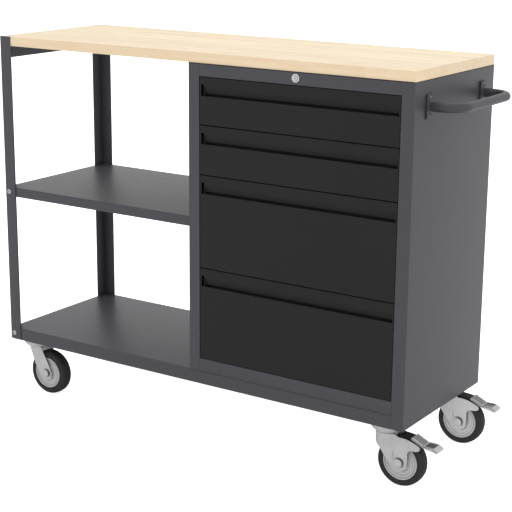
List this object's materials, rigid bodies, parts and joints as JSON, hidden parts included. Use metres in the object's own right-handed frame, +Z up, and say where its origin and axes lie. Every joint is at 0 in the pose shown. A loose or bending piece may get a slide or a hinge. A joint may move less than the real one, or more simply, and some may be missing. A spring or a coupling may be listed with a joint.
{
  "type": "tool cart",
  "caption": "Steel workshop cart with a drawer cabinet, open shelf bay, wooden worktop, push handle and swivel casters, two of them braked.",
  "frame": {"origin": "on the floor, under the middle of the cart's bounding box", "axes": "+X along the cart from the open shelves towards the handle, +Y from the drawer fronts towards the back panel, +Z up"},
  "size_m": [1.34, 0.426, 1.005],
  "materials": {
    "body_steel": "fine-textured anthracite powder coat, satin",
    "drawer_front": "black powder coat, satin",
    "drawer_inner": "grey powder coat, satin",
    "handle_steel": "anthracite powder coat on tube, satin",
    "worktop_wood": "light solid beech board, clear matt lacquer",
    "zinc_steel": "bright zinc plating",
    "caster_steel": "pressed sheet, matt zinc plating",
    "fastener_steel": "zinc-plated fastener",
    "lock_metal": "nickel-plated, slightly dulled",
    "wheel_rim": "pressed steel rim, light grey",
    "wheel_tyre": "dark grey solid rubber, matt"
  },
  "bodies": {
    "frame": {"base_tray": "body_steel", "cabinet_back": "body_steel", "cabinet_bottom_rail": "body_steel", "cabinet_side_left": "body_steel", "cabinet_side_right": "body_steel", "cabinet_top_rail": "body_steel", "caster_plate_front_left": "caster_steel", "caster_plate_front_right": "caster_steel", "caster_plate_rear_left": "caster_steel", "caster_plate_rear_right": "caster_steel", "end_rail_left": "body_steel", "handle_plate_front": "handle_steel", "handle_plate_rear": "handle_steel", "handle_tube": "handle_steel", "lock_housing": "lock_metal", "mid_shelf": "body_steel", "post_bolt_front_base": "fastener_steel", "post_bolt_front_mid": "fastener_steel", "post_bolt_rear_base": "fastener_steel", "post_bolt_rear_mid": "fastener_steel", "post_front_left": "body_steel", "post_rear_left": "body_steel", "runner_1_left": "zinc_steel", "runner_1_right": "zinc_steel", "runner_2_left": "zinc_steel", "runner_2_right": "zinc_steel", "runner_3_left": "zinc_steel", "runner_3_right": "zinc_steel", "runner_4_left": "zinc_steel", "runner_4_right": "zinc_steel", "worktop": "worktop_wood"},
    "drawer_1": {"drawer_1_front": "drawer_front", "drawer_1_box": "drawer_inner"},
    "drawer_2": {"drawer_2_front": "drawer_front", "drawer_2_box": "drawer_inner"},
    "drawer_3": {"drawer_3_front": "drawer_front", "drawer_3_box": "drawer_inner"},
    "drawer_4": {"drawer_4_front": "drawer_front", "drawer_4_box": "drawer_inner"},
    "lock_cylinder": {"lock_plug": "lock_metal", "lock_shaft": "zinc_steel"},
    "lock_bar": {"lock_bar": "zinc_steel"},
    "caster_front_left": {"caster_fork_front_left": "caster_steel", "caster_axle_front_left": "fastener_steel"},
    "wheel_front_left": {"wheel_rim_front_left": "wheel_rim", "wheel_tyre_front_left": "wheel_tyre"},
    "caster_rear_left": {"caster_fork_rear_left": "caster_steel", "caster_axle_rear_left": "fastener_steel"},
    "wheel_rear_left": {"wheel_rim_rear_left": "wheel_rim", "wheel_tyre_rear_left": "wheel_tyre"},
    "caster_front_right": {"caster_fork_front_right": "caster_steel", "caster_axle_front_right": "fastener_steel"},
    "wheel_front_right": {"wheel_rim_front_right": "wheel_rim", "wheel_tyre_front_right": "wheel_tyre"},
    "brake_front_right": {"brake_pedal_front_right": "caster_steel"},
    "caster_rear_right": {"caster_fork_rear_right": "caster_steel", "caster_axle_rear_right": "fastener_steel"},
    "wheel_rear_right": {"wheel_rim_rear_right": "wheel_rim", "wheel_tyre_rear_right": "wheel_tyre"},
    "brake_rear_right": {"brake_pedal_rear_right": "caster_steel"}
  },
  "joints": [
    {"name": "drawer_1_slide", "type": "slide", "parent": "frame", "child": "drawer_1", "axis": [0, -1, 0], "range_m": [0, 0.3]},
    {"name": "drawer_2_slide", "type": "slide", "parent": "frame", "child": "drawer_2", "axis": [0, -1, 0], "range_m": [0, 0.3]},
    {"name": "drawer_3_slide", "type": "slide", "parent": "frame", "child": "drawer_3", "axis": [0, -1, 0], "range_m": [0, 0.3]},
    {"name": "drawer_4_slide", "type": "slide", "parent": "frame", "child": "drawer_4", "axis": [0, -1, 0], "range_m": [0, 0.3]},
    {"name": "lock_turn", "type": "hinge", "parent": "frame", "child": "lock_cylinder", "pos_m": [0.268, -0.21, 0.965], "axis": [0, 1, 0], "range_deg": [0, 90]},
    {"name": "lock_bar_slide", "type": "slide", "parent": "frame", "child": "lock_bar", "axis": [0, 0, -1], "range_m": [0, 0.0115]},
    {"name": "caster_swivel_front_left", "type": "hinge", "parent": "frame", "child": "caster_front_left", "pos_m": [-0.606, -0.1635, 0.129], "axis": [0, 0, 1], "continuous": true},
    {"name": "wheel_spin_front_left", "type": "hinge", "parent": "caster_front_left", "child": "wheel_front_left", "pos_m": [-0.563, -0.1635, 0.0625], "axis": [0, 1, 0], "continuous": true},
    {"name": "caster_swivel_rear_left", "type": "hinge", "parent": "frame", "child": "caster_rear_left", "pos_m": [-0.606, 0.1635, 0.129], "axis": [0, 0, 1], "continuous": true},
    {"name": "wheel_spin_rear_left", "type": "hinge", "parent": "caster_rear_left", "child": "wheel_rear_left", "pos_m": [-0.563, 0.1635, 0.0625], "axis": [0, 1, 0], "continuous": true},
    {"name": "caster_swivel_front_right", "type": "hinge", "parent": "frame", "child": "caster_front_right", "pos_m": [0.516, -0.1635, 0.129], "axis": [0, 0, 1], "continuous": true},
    {"name": "wheel_spin_front_right", "type": "hinge", "parent": "caster_front_right", "child": "wheel_front_right", "pos_m": [0.559, -0.1635, 0.0625], "axis": [0, 1, 0], "continuous": true},
    {"name": "brake_press_front_right", "type": "hinge", "parent": "caster_front_right", "child": "brake_front_right", "pos_m": [0.5605, -0.1635, 0.1355], "axis": [0, 1, 0], "range_deg": [0, 14]},
    {"name": "caster_swivel_rear_right", "type": "hinge", "parent": "frame", "child": "caster_rear_right", "pos_m": [0.516, 0.1635, 0.129], "axis": [0, 0, 1], "continuous": true},
    {"name": "wheel_spin_rear_right", "type": "hinge", "parent": "caster_rear_right", "child": "wheel_rear_right", "pos_m": [0.559, 0.1635, 0.0625], "axis": [0, 1, 0], "continuous": true},
    {"name": "brake_press_rear_right", "type": "hinge", "parent": "caster_rear_right", "child": "brake_rear_right", "pos_m": [0.5605, 0.1635, 0.1355], "axis": [0, 1, 0], "range_deg": [0, 14]}
  ],
  "couplings": [
    {"joint": "lock_bar_slide", "follows": "lock_turn", "m_per_rad": 0.0072}
  ]
}
